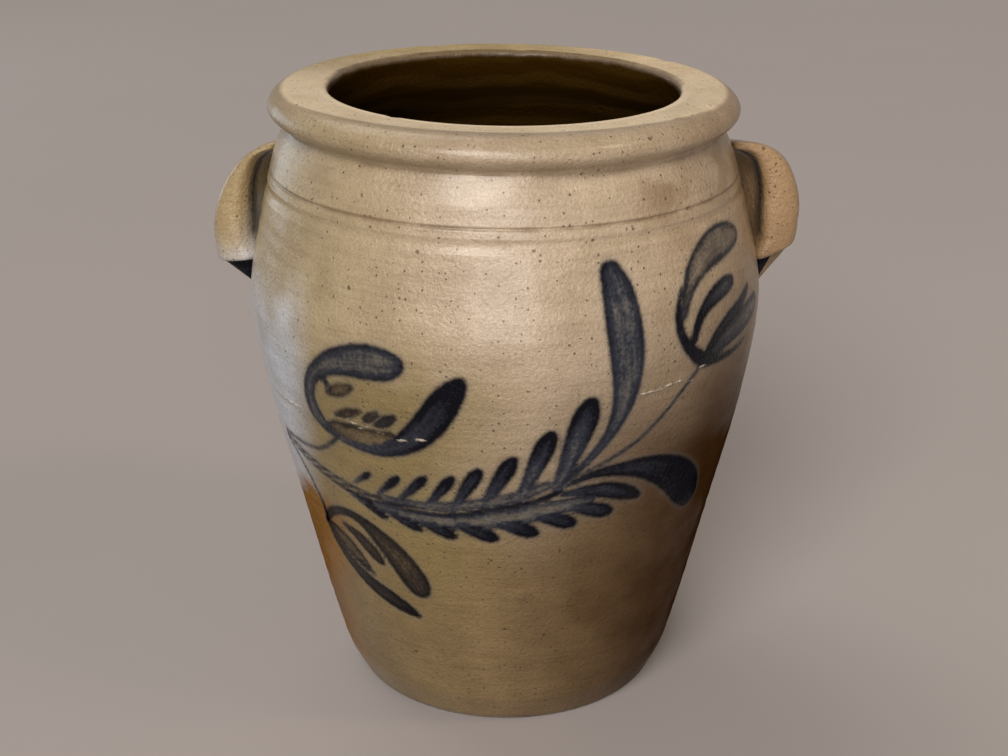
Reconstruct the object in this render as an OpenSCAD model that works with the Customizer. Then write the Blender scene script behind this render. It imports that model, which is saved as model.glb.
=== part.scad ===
// Ovoid stoneware crock with a rolled rim, two strap handles and a slip-glazed inside.
// The crock stands on z = 0 with its axis on Z, and its handles reach out along X, a little
// behind the middle as seen from the decorated front on -Y.

/* [Crock] */
// Height from the table to the top of the rim
crock_h = 286; // [260:1:330]
// Radius of the foot, where the crock stands
foot_r = 73.5; // [66:0.5:78]
// Bevel that the potter trims on the foot's edge
foot_bevel = 2; // [0.5:0.5:4]
// Height of the heel, where the wall leaves the foot's curve
heel_h = 18; // [12:1:30]
// Radius of the heel
heel_r = 81; // [79:0.5:88]
// Height of the straight flank
flank_h = 98; // [80:1:110]
// Radius of the wall on the flank
flank_r = 100.5; // [94:0.5:106]
// Height of the upper flank, where the wall starts to turn in
turn_h = 150; // [130:1:165]
// Radius of the wall at the upper flank
turn_r = 112.5; // [106:0.5:116]
// Height of the belly, the widest place
belly_h = 194; // [180:1:200]
// Radius of the belly
belly_r = 118; // [117:0.5:124]
// Drop from the rim's top to the shoulder
shoulder_drop = 57; // [50:1:66]
// Radius of the shoulder
shoulder_r = 111.5; // [106:0.5:114]
// Drop from the rim's top to the root of the neck
root_drop = 28; // [25:1:36]
// Radius of the wall at the root of the neck
root_r = 104; // [101:0.5:106]
// Drop from the rim's top to the hollow under the rim
hollow_drop = 16.5; // [15:0.5:21]
// Radius of the hollow under the rim
hollow_r = 98.5; // [95:0.5:101]

/* [Rim] */
// Height of the rolled rim
rim_h = 14; // [10:0.5:14.5]
// Radius of the rim where it bulges most
rim_r = 106; // [103:0.5:112]
// Drop from the rim's top to its bulge
bulge_drop = 8; // [5:0.5:9]
// Outer radius of the rim's flat top
rim_top_r = 99.5; // [94:0.5:102]
// Radius of the mouth
mouth_r = 79; // [70:0.5:86]
// Height of the upright lip inside the mouth
lip_h = 9; // [6:0.5:12]
// Round on the lip's upper edge
lip_round = 2.5; // [1:0.5:4]

/* [Wall and lining] */
// Thickness of the wall
wall_t = 9.5; // [7:0.5:13]
// Thickness of the floor
floor_t = 12; // [8:0.5:18]
// Radius of the corner between the floor and the wall
corner_r = 18; // [10:1:26]
// Drop from the rim's top to where the wall starts to close in to the lip
throat_drop = 44; // [38:1:52]
// Thickness of the slip glaze inside
lining_t = 0.5; // [0.3:0.1:1]

/* [Incised lines] */
// Drop from the rim's top to the sharp line round the neck
line_drop = 36.5; // [34:0.5:38.5]
// Width of the sharp line
line_w = 1.6; // [0.8:0.2:3]
// Depth of the sharp line
line_d = 0.8; // [0.4:0.1:1.5]
// Drop from the rim's top to the middle of the soft cove below the line
cove_drop = 43.5; // [42:0.5:48]
// Width of the soft cove
cove_w = 6; // [3:0.5:7]
// Depth of the soft cove
cove_d = 0.8; // [0.4:0.1:1.2]

/* [Handles] */
// Drop from the rim's top to the top of the strap on the neck
strap_top_drop = 28.5; // [26:0.5:30]
// Drop from the rim's top to the strap's outermost place
strap_out_drop = 68; // [62:0.5:73]
// Drop from the rim's top to the strap's lower outer corner
strap_corner_drop = 81.5; // [80:0.5:84]
// Drop from the rim's top to the ledge where the strap's sides end
strap_ledge_drop = 82.5; // [81:0.5:86]
// Drop from the rim's top to the thumbed tail's tip on the wall
strap_tail_drop = 97; // [92:1:102]
// How far the strap stands out from the wall at its outermost place
strap_stand = 22.5; // [18:0.5:26]
// Width of the strap
strap_w = 32; // [26:1:44]
// Width that the strap gains where it is luted to the neck
strap_flare = 2; // [0:1:12]
// Width of the thumbed tail below the ledge
tail_w = 21; // [14:1:25]
// Width of the finger gap between the wall and the strap, at its widest
gap_w = 6.8; // [5:0.2:9]
// Drop from the rim's top to the upper end of the finger gap
gap_top_drop = 32; // [31:0.5:38]
// Drop from the rim's top to the lower end of the finger gap
gap_end_drop = 78.5; // [72:0.5:79]
// Angle by which each handle is luted on behind the middle of its side
handle_turn = 6; // [0:1:10]

/* [Hidden] */
$fn = 128;
CLAY = [0.62, 0.55, 0.43];
STRAP_CLAY = [0.66, 0.57, 0.43];
SLIP_BROWN = [0.16, 0.10, 0.04];
// Steps of the curves, and the slices and sides of a strap
WALL_STEPS = 9;
BEAD_STEPS = 8;
ARC_STEPS = 6;
INSIDE_STEPS = 36;
COVE_STEPS = 8;
TAIL_RINGS = 8;
LOW_RINGS = 7;
TOP_RINGS = 18;
SIDES = 24;
// Turn of the strap's quarter oval at which its top is cut off level
TOP_TURN = 84;
// Squareness of the strap's section, where 2 is an oval
SECTION_POWER = 3.2;
// How bluntly the finger gap ends at its top: the lower, the nearer the top it is widest
GAP_LEAN = 0.35;
// Round on the strap's lower corner, and half the height of its ledge
CORNER_ROUND = 1;
LEDGE_STEP = 0.8;
// Depth by which a strap is sunk in the wall before it is cut to it, and how late the ends of
// the finger gap sink to it
SINK = 6;
SINK_POWER = 12;
// Share of the tail's width that is lost from the ledge to the tip
TAIL_TAPER = 0.33;
// Margin by which a cut runs past the surface that it cuts
CUT = 1;

shoulder_h = crock_h - shoulder_drop;
root_h = crock_h - root_drop;
hollow_h = crock_h - hollow_drop;
crease_h = crock_h - rim_h;
bulge_h = crock_h - bulge_drop;
lip_foot_h = crock_h - lip_round - lip_h;
throat_h = crock_h - throat_drop;
corner_top_h = floor_t + corner_r;

// The outside wall is a smooth curve through these stations, each [height, radius].
STATIONS = [
    [foot_bevel, foot_r],
    [heel_h, heel_r],
    [flank_h, flank_r],
    [turn_h, turn_r],
    [belly_h, belly_r],
    [shoulder_h, shoulder_r],
    [root_h, root_r],
    [hollow_h, hollow_r]
];

// Cubic curve from a to b over a span, with the slopes at its ends, at the fraction t
function cubic(a, b, slope_a, slope_b, span, t) =
    a * (2 * t * t * t - 3 * t * t + 1) + slope_a * span * (t * t * t - 2 * t * t + t)
    + b * (3 * t * t - 2 * t * t * t) + slope_b * span * (t * t * t - t * t);

// Height from one station to the next
function step_h(i) = STATIONS[i + 1][0] - STATIONS[i][0];

// Slope of the wall at a station, from the stations beside it
function station_slope(i) =
    let (below = STATIONS[max(i - 1, 0)], above = STATIONS[min(i + 1, len(STATIONS) - 1)])
    (above[1] - below[1]) / (above[0] - below[0]);

// Radius of the outside wall at height z
function wall_r(z) =
    let (
        passed = [for (k = [0 : len(STATIONS) - 2]) if (z >= STATIONS[k][0]) k],
        i = max(0, len(passed) - 1)
    )
    cubic(STATIONS[i][1], STATIONS[i + 1][1], station_slope(i), station_slope(i + 1),
          step_h(i), (z - STATIONS[i][0]) / step_h(i));

// Slope of the wall at height z, over the last millimetre below it
function wall_slope(z) = wall_r(z) - wall_r(z - 1);

// Heights at which the outside wall is drawn, from the foot to the hollow under the rim
WALL_HEIGHTS = concat(
    [for (i = [0 : len(STATIONS) - 2], k = [0 : WALL_STEPS - 1])
        STATIONS[i][0] + step_h(i) * k / WALL_STEPS],
    [hollow_h]
);

// The crease under the rim lies a little outside the hollow.
crease_r = hollow_r + (hollow_drop - rim_h) / 2;

// Rim's bead at height z, flat at its bulge and falling away to the crease and to the top
function bead_r(z) =
    z < bulge_h
        ? rim_r - (rim_r - crease_r) * pow((bulge_h - z) / (bulge_h - crease_h), 2)
        : rim_r - (rim_r - rim_top_r) * pow((z - bulge_h) / bulge_drop, 2);

OUTSIDE = concat(
    [[foot_r - foot_bevel, 0]],
    [for (z = WALL_HEIGHTS) [wall_r(z), z]],
    [for (k = [0 : BEAD_STEPS])
        let (z = crease_h + (crock_h - crease_h) * k / BEAD_STEPS) [bead_r(z), z]]
);

LIP = [for (k = [0 : ARC_STEPS])
    let (a = 90 + 90 * k / ARC_STEPS)
    [mouth_r + lip_round * (1 + cos(a)), crock_h - lip_round * (1 - sin(a))]];

// Radius of the inside wall: level with the outside, then closing in to the lip
function inside_r(z) =
    z < throat_h
        ? wall_r(z) - wall_t
        : let (span = lip_foot_h - throat_h)
          cubic(wall_r(throat_h) - wall_t, mouth_r, wall_slope(throat_h), 0,
                span, (z - throat_h) / span);

// Heights at which the inside wall is drawn, from the lip's foot to the corner
INSIDE_HEIGHTS = [for (k = [0 : INSIDE_STEPS])
    lip_foot_h + (corner_top_h - lip_foot_h) * k / INSIDE_STEPS];

// Inside of the crock from one of those heights down to the floor, set in by a coat
function inside_points(first, coat = 0) =
    let (round_r = corner_r - coat, round_mid_r = inside_r(corner_top_h) - corner_r)
    concat(
        [for (k = [first : INSIDE_STEPS - 1])
            [inside_r(INSIDE_HEIGHTS[k]) - coat, INSIDE_HEIGHTS[k]]],
        [for (k = [0 : ARC_STEPS])
            let (a = -90 * k / ARC_STEPS)
            [round_mid_r + round_r * cos(a), corner_top_h + round_r * sin(a)]]
    );

function reverse(points) = [for (i = [len(points) - 1 : -1 : 0]) points[i]];

module revolve(points) {
    rotate_extrude() polygon(points);
}

// Everything that lies inside the crock's outer surface, used to seat the handles
module crock_core() {
    revolve(concat([[0, 0]], OUTSIDE, [[0, crock_h]]));
}

// Sharp line scribed round the neck
module sharp_line() {
    z = crock_h - line_drop;
    r = wall_r(z);
    revolve([[r - line_d, z], [r + CUT, z - line_w / 2], [r + CUT, z + line_w / 2]]);
}

// Soft cove run round the shoulder below the sharp line
module soft_cove() {
    z = crock_h - cove_drop;
    revolve(concat(
        [for (k = [0 : COVE_STEPS])
            let (u = 2 * k / COVE_STEPS - 1, h = z + u * cove_w / 2)
            [wall_r(h) - cove_d * (1 - u * u), h]],
        [[wall_r(z) + 2 * CUT, z + cove_w / 2], [wall_r(z) + 2 * CUT, z - cove_w / 2]]
    ));
}

module crock_body() {
    color(CLAY)
        difference() {
            revolve(concat([[0, 0]], OUTSIDE, LIP, inside_points(0), [[0, floor_t]]));
            sharp_line();
            soft_cove();
        }
}

// The glaze starts one step below the lip's foot, where the wall has drawn back by more than
// the coat's thickness, so that it leaves the mouth's full width clear.
module slip_lining() {
    color(SLIP_BROWN)
        revolve(concat(
            inside_points(1),
            [[0, floor_t], [0, floor_t + lining_t]],
            reverse(inside_points(1, lining_t))
        ));
}

strap_top_h = crock_h - strap_top_drop;
strap_out_h = crock_h - strap_out_drop;
strap_corner_h = crock_h - strap_corner_drop;
strap_ledge_h = crock_h - strap_ledge_drop;
strap_tail_h = crock_h - strap_tail_drop;
strap_reach = wall_r(strap_out_h) + strap_stand;
gap_end_h = crock_h - gap_end_drop;
gap_h = gap_end_drop - gap_top_drop;

// Height of a quarter oval over its base, at the fraction u of the base
function oval(u) = sqrt(max(0, 1 - u * u));

// The smaller of two values, with the corner between them rounded
function soft_min(a, b, round) = (a + b) / 2 - sqrt(pow((a - b) / 2, 2) + round * round);

// How far a height has come from the strap's outermost place to its top, as a fraction
function bend_share(z) = (z - strap_out_h) / (strap_top_h - strap_out_h);

// Outer edge of the strap: a quarter oval from the neck down to the outermost place, then
// straight to the lower corner, and in along the tail to the wall
function strap_out_r(z) =
    let (neck_r = wall_r(strap_top_h))
    z > strap_out_h
        ? neck_r + (strap_reach - neck_r) * oval(bend_share(z))
        : let (
              tail_r = wall_r(strap_tail_h),
              run = (z - strap_tail_h) / (strap_corner_h - strap_tail_h)
          )
          soft_min(strap_reach, tail_r + (strap_reach - tail_r) * run, CORNER_ROUND);

// Rise and fall of the finger gap from its lower end, t = 0, to its upper end, t = 1
function gap_shape(t) = t * pow(1 - t, GAP_LEAN);

// Inner edge of the strap: off the wall along the finger gap, and sunk in it elsewhere
function strap_in_r(z) =
    let (
        t = (z - gap_end_h) / gap_h,
        open_share = gap_shape(t) / gap_shape(1 / (1 + GAP_LEAN))
    )
    t > 0 && t < 1
        ? wall_r(z) + gap_w * open_share - SINK * pow(abs(2 * t - 1), SINK_POWER)
        : wall_r(z) - SINK;

// Width of the strap, flared at the neck and cut back to the tail below the ledge
function strap_width(z) =
    z > strap_out_h ? strap_w + strap_flare * pow(bend_share(z), 2)
    : z > strap_ledge_h ? strap_w
    : tail_w * (1 - TAIL_TAPER * (strap_ledge_h - z) / (strap_ledge_h - strap_tail_h));

// Heights of the strap's level slices, closer together at the rounded top and at the ledge
STRAP_HEIGHTS =
    let (
        tail_rise = strap_ledge_h - LEDGE_STEP - strap_tail_h,
        low_h = strap_ledge_h + LEDGE_STEP,
        low_rise = strap_out_h - low_h,
        top_rise = strap_top_h - strap_out_h
    )
    concat(
        [for (k = [0 : TAIL_RINGS]) strap_tail_h + tail_rise * k / TAIL_RINGS],
        [for (k = [0 : LOW_RINGS]) low_h + low_rise * k / LOW_RINGS],
        [for (k = [1 : TOP_RINGS]) strap_out_h + top_rise * sin(TOP_TURN * k / TOP_RINGS)]
    );

// Sign of a number times a power of its size
function signed_power(v, power) = sign(v) * pow(abs(v), power);

// One level slice of the strap: a squarish oval from its inner edge to its outer edge
function strap_slice(z) =
    let (
        middle = (strap_out_r(z) + strap_in_r(z)) / 2,
        half_t = (strap_out_r(z) - strap_in_r(z)) / 2,
        half_w = strap_width(z) / 2
    )
    [for (k = [0 : SIDES - 1])
        let (a = 360 * (k + 0.5) / SIDES)
        [middle + half_t * signed_power(cos(a), 2 / SECTION_POWER),
         half_w * signed_power(sin(a), 2 / SECTION_POWER), z]];

// Strap as one loft of level slices, from the tail's tip to the neck
module strap() {
    rings = len(STRAP_HEIGHTS) - 1;
    points = [for (z = STRAP_HEIGHTS, p = strap_slice(z)) p];
    sides = [for (i = [0 : rings - 1], k = [0 : SIDES - 1])
        let (a = i * SIDES + k, b = i * SIDES + (k + 1) % SIDES)
        each [[a, a + SIDES, b], [b, a + SIDES, b + SIDES]]];
    caps = [
        [for (k = [0 : SIDES - 1]) k],
        [for (k = [SIDES - 1 : -1 : 0]) rings * SIDES + k]
    ];
    polyhedron(points, concat(sides, caps), convexity = 6);
}

// Strap on the +X side, turned to its place and cut to the wall that it is luted to
module handle() {
    difference() {
        rotate(handle_turn) strap();
        crock_core();
    }
}

module right_handle() {
    color(STRAP_CLAY) handle();
}

module left_handle() {
    color(STRAP_CLAY) mirror([1, 0, 0]) handle();
}

crock_body();
left_handle();
right_handle();
slip_lining();
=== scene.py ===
"""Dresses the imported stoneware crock: thrown body, strap handles, slip lining and cobalt brushwork."""
import math

import bmesh
import bpy
import numpy as np
from bpy.props import FloatProperty, FloatVectorProperty, IntProperty, PointerProperty
from mathutils import Matrix, Vector, noise


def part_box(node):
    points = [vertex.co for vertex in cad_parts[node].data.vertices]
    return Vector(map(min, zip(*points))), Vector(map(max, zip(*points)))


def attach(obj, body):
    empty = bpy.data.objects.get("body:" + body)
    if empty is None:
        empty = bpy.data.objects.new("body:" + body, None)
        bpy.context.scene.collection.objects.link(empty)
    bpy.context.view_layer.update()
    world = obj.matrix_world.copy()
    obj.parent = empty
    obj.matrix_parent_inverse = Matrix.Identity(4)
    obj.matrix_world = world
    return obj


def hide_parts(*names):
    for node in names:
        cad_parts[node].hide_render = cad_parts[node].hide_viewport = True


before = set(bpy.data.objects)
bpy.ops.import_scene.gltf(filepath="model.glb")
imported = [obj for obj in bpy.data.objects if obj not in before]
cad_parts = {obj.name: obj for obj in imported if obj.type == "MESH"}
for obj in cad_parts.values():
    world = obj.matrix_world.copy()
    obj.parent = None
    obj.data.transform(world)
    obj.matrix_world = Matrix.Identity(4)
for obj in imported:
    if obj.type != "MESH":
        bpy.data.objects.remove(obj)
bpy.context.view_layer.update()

bl_info = {
    "name": "Stoneware Crock",
    "version": (1, 0, 0),
    "blender": (4, 5, 0),
    "location": "View3D > Sidebar > Crock",
    "description": "Salt-glazed crock with strap handles, a slip-glazed inside and cobalt brushwork",
    "category": "Add Mesh",
}

MM = 0.001
BODY_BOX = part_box("crock_body")


def length(name, description, millimetres):
    """Length property with a default in millimetres."""
    return FloatProperty(
        name=name, description=description, default=millimetres * MM, unit="LENGTH", precision=4)


def colour(name, description, rgb):
    """Colour property with a linear default."""
    return FloatVectorProperty(
        name=name, description=description, default=rgb, size=3, subtype="COLOR", min=0, max=1)


class CROCK_PG_sizes(bpy.types.PropertyGroup):
    """Sizes of the thrown body, those of the solids first and then the unevenness of a pot."""
    height: FloatProperty(
        name="Height", description="Height from the table to the rim's top",
        default=BODY_BOX[1][2], unit="LENGTH", precision=4)
    foot_r: length("Foot radius", "Radius of the foot", 73.5)
    foot_bevel: length("Foot bevel", "Bevel trimmed on the foot's edge", 2)
    heel_h: length("Heel height", "Height of the heel", 18)
    heel_r: length("Heel radius", "Radius of the heel", 81)
    flank_h: length("Flank height", "Height of the straight flank", 98)
    flank_r: length("Flank radius", "Radius of the flank", 100.5)
    turn_h: length("Turn height", "Height at which the wall starts to turn in", 150)
    turn_r: length("Turn radius", "Radius at which the wall starts to turn in", 112.5)
    belly_h: length("Belly height", "Height of the widest place", 194)
    belly_r: length("Belly radius", "Radius of the widest place", 118)
    shoulder_drop: length("Shoulder drop", "Drop from the rim's top to the shoulder", 57)
    shoulder_r: length("Shoulder radius", "Radius of the shoulder", 111.5)
    root_drop: length("Root drop", "Drop from the rim's top to the neck's root", 28)
    root_r: length("Root radius", "Radius of the neck's root", 104)
    hollow_drop: length("Hollow drop", "Drop from the rim's top to the hollow under it", 16.5)
    hollow_r: length("Hollow radius", "Radius of the hollow under the rim", 98.5)
    rim_h: length("Rim height", "Height of the rolled rim", 14)
    rim_r: length("Rim radius", "Radius of the rim's bulge", 106)
    bulge_drop: length("Bulge drop", "Drop from the rim's top to its bulge", 8)
    rim_top_r: length("Rim top radius", "Outer radius of the rim's top", 99.5)
    mouth_r: length("Mouth radius", "Radius of the mouth", 79)
    lip_h: length("Lip height", "Height of the upright lip", 9)
    lip_round: length("Lip round", "Round on the lip's edge", 2.5)
    wall_t: length("Wall", "Thickness of the wall", 9.5)
    floor_t: length("Floor", "Thickness of the floor", 12)
    corner_r: length("Corner", "Radius between the floor and the wall", 18)
    throat_drop: length("Throat drop", "Drop from the rim's top to where the wall closes in", 44)
    lining_t: length("Lining", "Thickness of the slip glaze", 0.5)
    line_drop: length("Line drop", "Drop from the rim's top to the sharp line", 36.5)
    line_w: length("Line width", "Width of the sharp line with its soft edges", 1.8)
    line_d: length("Line depth", "Depth of the sharp line", 0.8)
    cove_drop: length("Cove drop", "Drop from the rim's top to the soft cove", 43.5)
    cove_w: length("Cove width", "Width of the soft cove", 6)
    cove_d: length("Cove depth", "Depth of the soft cove", 0.8)
    wobble: length("Wobble", "Unevenness of the thrown wall", 0.5)
    rings: length("Throwing rings", "Height of the finger ridges", 0.1)
    lean: length("Lean", "How far the rim leans off the foot's centre", -1.0)
    tilt: FloatProperty(name="Tilt", description="Slope of the rim across the handles", default=-0.011)
    segments: IntProperty(name="Segments", description="Steps round the body", default=360)


class CROCK_PG_straps(bpy.types.PropertyGroup):
    """Sizes of the strap handles."""
    top_drop: length("Top drop", "Drop from the rim's top to the strap's top", 28.5)
    out_drop: length("Out drop", "Drop to the strap's outermost place", 68)
    corner_drop: length("Corner drop", "Drop to the strap's lower corner", 81.5)
    ledge_drop: length("Ledge drop", "Drop to the ledge under the strap's sides", 82.5)
    tail_drop: length("Tail drop", "Drop to the thumbed tail's tip", 97)
    stand: length("Stand", "How far the strap stands out from the wall", 22.5)
    width: length("Width", "Width of the strap", 32)
    flare: length("Flare", "Width gained at the neck", 2)
    tail_w: length("Tail width", "Width of the tail", 21)
    gap_w: length("Gap", "Width of the finger gap", 6.8)
    gap_top_drop: length("Gap top", "Drop to the gap's upper end", 32)
    gap_end_drop: length("Gap end", "Drop to the gap's lower end", 78.5)
    gap_lean: FloatProperty(name="Gap lean", description="How bluntly the gap ends at its top", default=0.35)
    sink: length("Sink", "Depth by which the strap is set in the wall", 4)
    turn: FloatProperty(
        name="Turn", description="Angle of each handle behind the middle of its side",
        default=math.radians(6), subtype="ANGLE", unit="ROTATION")
    roll: FloatProperty(name="Roll", description="Slope of the strap's top to the back", default=0.2)
    twist: FloatProperty(name="Twist", description="Slope of the gap's wall to the back", default=0.42)
    lumps: length("Lumps", "Unevenness of the pulled strap", 0.5)


class CROCK_PG_colours(bpy.types.PropertyGroup):
    """Colours of the fired clay, the slip and the cobalt, with the painted shade, highlight and reflection
    among them.
    """
    clay_high: colour("Upper clay", "Clay on the shoulder", (0.465, 0.375, 0.27))
    clay_low: colour("Lower clay", "Clay near the foot", (0.205, 0.14, 0.066))
    olive: colour("Olive", "Ash-green flush on the side of the belly", (0.21, 0.155, 0.055))
    cool: colour("Cool", "Tint of the left side", (0.79, 0.79, 0.64))
    # Painted shade: the right side made darker as well as warmer
    warm_tint_and_painted_shade: colour("Warm", "Tint of the right side", (0.78, 0.68, 0.55))
    # Painted reflection: bluish light of a window along the left edge
    painted_window_sheen: colour("Haze", "Bluish salt haze at the left", (0.54, 0.61, 0.72))
    toast: colour("Toast", "Toasted flush on the left of the foot", (0.25, 0.12, 0.035))
    # Toasted flush, darkened further as painted shade on the lower right
    deep_toast_and_painted_shade: colour("Deep toast", "Toasted flush on the right of the foot", (0.045, 0.018, 0.005))
    shade: colour("Shade", "Darker mottling", (0.66, 0.62, 0.54))
    speck: colour("Speck", "Iron specks", (0.045, 0.028, 0.014))
    # Pale kiln scar, and painted glints of light
    scar_and_painted_glint: colour("Scar", "Pale kiln scar", (0.58, 0.52, 0.42))
    stain: colour("Stain", "Brown stain on the right of the neck", (0.25, 0.165, 0.085))
    # Darker brown along the scored line, the crease under the rim and the front of the rim's seam
    groove: colour("Groove", "Brown that gathered in the grooves", (0.13, 0.08, 0.035))
    rim_back: colour("Rim's back", "Yellowish back of the rim's top", (0.44, 0.354, 0.21))
    # Wear and painted highlight: paler on the front and right of the rim's flat and on the front of the lip
    wear_and_painted_highlight: colour("Worn", "Pale worn part of the rim's top", (0.79, 0.655, 0.45))
    strap: colour("Strap", "Clay of the handles", (0.49, 0.375, 0.25))
    slip_dark: colour("Dark slip", "Slip where it is thick", (0.022, 0.010, 0.001))
    slip_pale: colour("Pale slip", "Slip where it is thin", (0.062, 0.033, 0.006))
    slip_thin: colour("Slip edge", "Slip thinned over the lip", (0.13, 0.088, 0.05))
    cobalt_wash: colour("Cobalt wash", "Cobalt where it is thin", (0.105, 0.108, 0.104))
    cobalt: colour("Cobalt", "Cobalt at its usual strength", (0.022, 0.025, 0.036))
    cobalt_deep: colour("Deep cobalt", "Cobalt where it pools", (0.0015, 0.0018, 0.005))
    cobalt_brown: colour("Brown cobalt", "Tint of cobalt that fired brown", (1.0, 0.66, 0.34))


class CROCK_PG_stage(bpy.types.PropertyGroup):
    """Floor, lights and camera."""
    floor: colour("Floor", "Plain floor", (0.366, 0.338, 0.332))
    backdrop: colour("Backdrop", "Colour behind the floor", (0.332, 0.283, 0.258))
    ambient: FloatProperty(name="Ambient", description="Strength of the even light", default=0.55)
    floor_size: FloatProperty(name="Floor size", description="Side of the floor", default=14, unit="LENGTH")
    lens: FloatProperty(name="Lens", description="Focal length", default=61.8, unit="CAMERA")
    distance: length("Distance", "Camera to the crock's axis, along the floor", 772.2)
    eye: length("Eye", "Height of the camera", 448.2)
    pitch: FloatProperty(
        name="Pitch", description="Turn of the camera below the horizon",
        default=math.radians(21.5), subtype="ANGLE", unit="ROTATION")
    shift: FloatProperty(name="Shift", description="Sideways shift of the frame", default=-0.0024)


def smooth(low, high, value):
    """Smooth step from 0 at low to 1 at high."""
    t = np.clip((value - low) / (high - low), 0, 1)
    return t * t * (3 - 2 * t)


def cubic(a, b, slope_a, slope_b, span, t):
    """Cubic from a to b over a span, with the slopes at its ends."""
    return (a * (2 * t ** 3 - 3 * t ** 2 + 1) + slope_a * span * (t ** 3 - 2 * t ** 2 + t)
            + b * (3 * t ** 2 - 2 * t ** 3) + slope_b * span * (t ** 3 - t ** 2))


# Steps of the body's section, and the drop and run of the round on the rim's outer edge
CORNER_STEPS = 8
BEAD_STEPS = 14
EDGE_STEPS = 6
FLAT_STEPS = 12
LIP_STEPS = 6
LIP_LEVELS = (0.25, 0.5, 0.75)
INSIDE_STEPS = 16
FINE_STEP = 0.45 * MM
WALL_STEP = 1.65 * MM
RIM_EDGE_DROP = 1.3 * MM
RIM_EDGE_RUN = 3.5 * MM
MERGE_DIST = 0.01 * MM


class Wall:
    """Radii of the crock's outside and inside at a height."""

    def __init__(self, s):
        self.s = s
        self.stations = [
            (s.foot_bevel, s.foot_r), (s.heel_h, s.heel_r), (s.flank_h, s.flank_r), (s.turn_h, s.turn_r),
            (s.belly_h, s.belly_r), (s.height - s.shoulder_drop, s.shoulder_r),
            (s.height - s.root_drop, s.root_r), (s.height - s.hollow_drop, s.hollow_r),
        ]
        self.throat_h = s.height - s.throat_drop
        self.lip_foot_h = s.height - s.lip_round - s.lip_h

    def slope(self, i):
        """Slope of the wall at a station, from the stations beside it."""
        below = self.stations[max(i - 1, 0)]
        above = self.stations[min(i + 1, len(self.stations) - 1)]
        return (above[1] - below[1]) / (above[0] - below[0])

    def outside(self, z):
        """Radius of the smooth outside wall."""
        i = max([k for k in range(len(self.stations) - 1) if z >= self.stations[k][0]], default=0)
        (low_h, low_r), (high_h, high_r) = self.stations[i:i + 2]
        span = high_h - low_h
        return cubic(low_r, high_r, self.slope(i), self.slope(i + 1), span, (z - low_h) / span)

    def scored(self, z):
        """Radius of the outside wall with the sharp line and the soft cove cut in it."""
        s = self.s
        line = max(0, 1 - abs(z - s.height + s.line_drop) / (s.line_w / 2))
        cove = max(0, 1 - ((z - s.height + s.cove_drop) / (s.cove_w / 2)) ** 2)
        return self.outside(z) - s.line_d * line - s.cove_d * cove

    def inside(self, z):
        """Radius of the inside wall, closing in to the lip."""
        start = self.outside(self.throat_h) - self.s.wall_t
        if z < self.throat_h:
            return self.outside(z) - self.s.wall_t
        slope = (self.outside(self.throat_h) - self.outside(self.throat_h - MM)) / MM
        span = self.lip_foot_h - self.throat_h
        return cubic(start, self.s.mouth_r, slope, 0, span, (z - self.throat_h) / span)

    def bead(self, z):
        """Radius of the rolled rim."""
        s = self.s
        crease_h, bulge_h = s.height - s.rim_h, s.height - s.bulge_drop
        crease_r = s.hollow_r + (s.hollow_drop - s.rim_h) / 2
        if z < bulge_h:
            return s.rim_r - (s.rim_r - crease_r) * ((bulge_h - z) / (bulge_h - crease_h)) ** 2
        return s.rim_r - (s.rim_r - s.rim_top_r) * ((z - bulge_h) / s.bulge_drop) ** 2

    def inside_points(self, top_h, coat, steps):
        """Inside from a height down to the floor's middle, set in by a coat."""
        s = self.s
        corner_top = s.floor_t + s.corner_r
        middle = self.inside(corner_top) - s.corner_r
        points = [(self.inside(z) - coat, z) for z in np.linspace(top_h, corner_top, steps)[:-1]]
        bend_r = s.corner_r - coat
        for a in np.linspace(0, -math.pi / 2, CORNER_STEPS):
            points.append((middle + bend_r * math.cos(a), corner_top + bend_r * math.sin(a)))
        return points + [(middle / 2, s.floor_t + coat), (0, s.floor_t + coat)]


def body_profile(wall):
    """Section of the body from the foot's middle, up the outside and down the inside."""
    s = wall.s
    hollow_h, crease_h = s.height - s.hollow_drop, s.height - s.rim_h
    scored_low = s.height - s.cove_drop - s.cove_w
    scored_high = s.height - s.line_drop + s.line_w
    heights = list(np.arange(s.foot_bevel, scored_low, WALL_STEP))
    heights += list(np.arange(scored_low, scored_high, FINE_STEP))
    heights += list(np.arange(scored_high, hollow_h, WALL_STEP)) + [hollow_h]
    points = [(0, 0), (s.foot_r / 2, 0), (s.foot_r - s.foot_bevel, 0)]
    points += [(wall.scored(z), z) for z in heights]
    edge_h, flat_r = s.height - RIM_EDGE_DROP, s.rim_top_r - RIM_EDGE_RUN
    points += [(wall.bead(z), z) for z in np.linspace(crease_h, edge_h, BEAD_STEPS)]
    edge_r = wall.bead(edge_h)
    for t in np.linspace(0, 1, EDGE_STEPS)[1:]:
        r = edge_r * (1 - t) ** 2 + s.rim_top_r * 2 * t * (1 - t) + flat_r * t ** 2
        points.append((r, s.height - RIM_EDGE_DROP * (1 - t) ** 2))
    lip_r, lip_h = s.mouth_r + s.lip_round, s.height - s.lip_round
    points += [(r, s.height) for r in np.linspace(flat_r, lip_r, FLAT_STEPS)[1:]]
    for a in np.linspace(math.pi / 2, math.pi, LIP_STEPS)[1:]:
        points.append((lip_r + s.lip_round * math.cos(a), lip_h + s.lip_round * math.sin(a)))
    points += [(s.mouth_r, lip_h - s.lip_h * t) for t in LIP_LEVELS]
    return points + wall.inside_points(wall.lip_foot_h, 0, INSIDE_STEPS)


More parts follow.
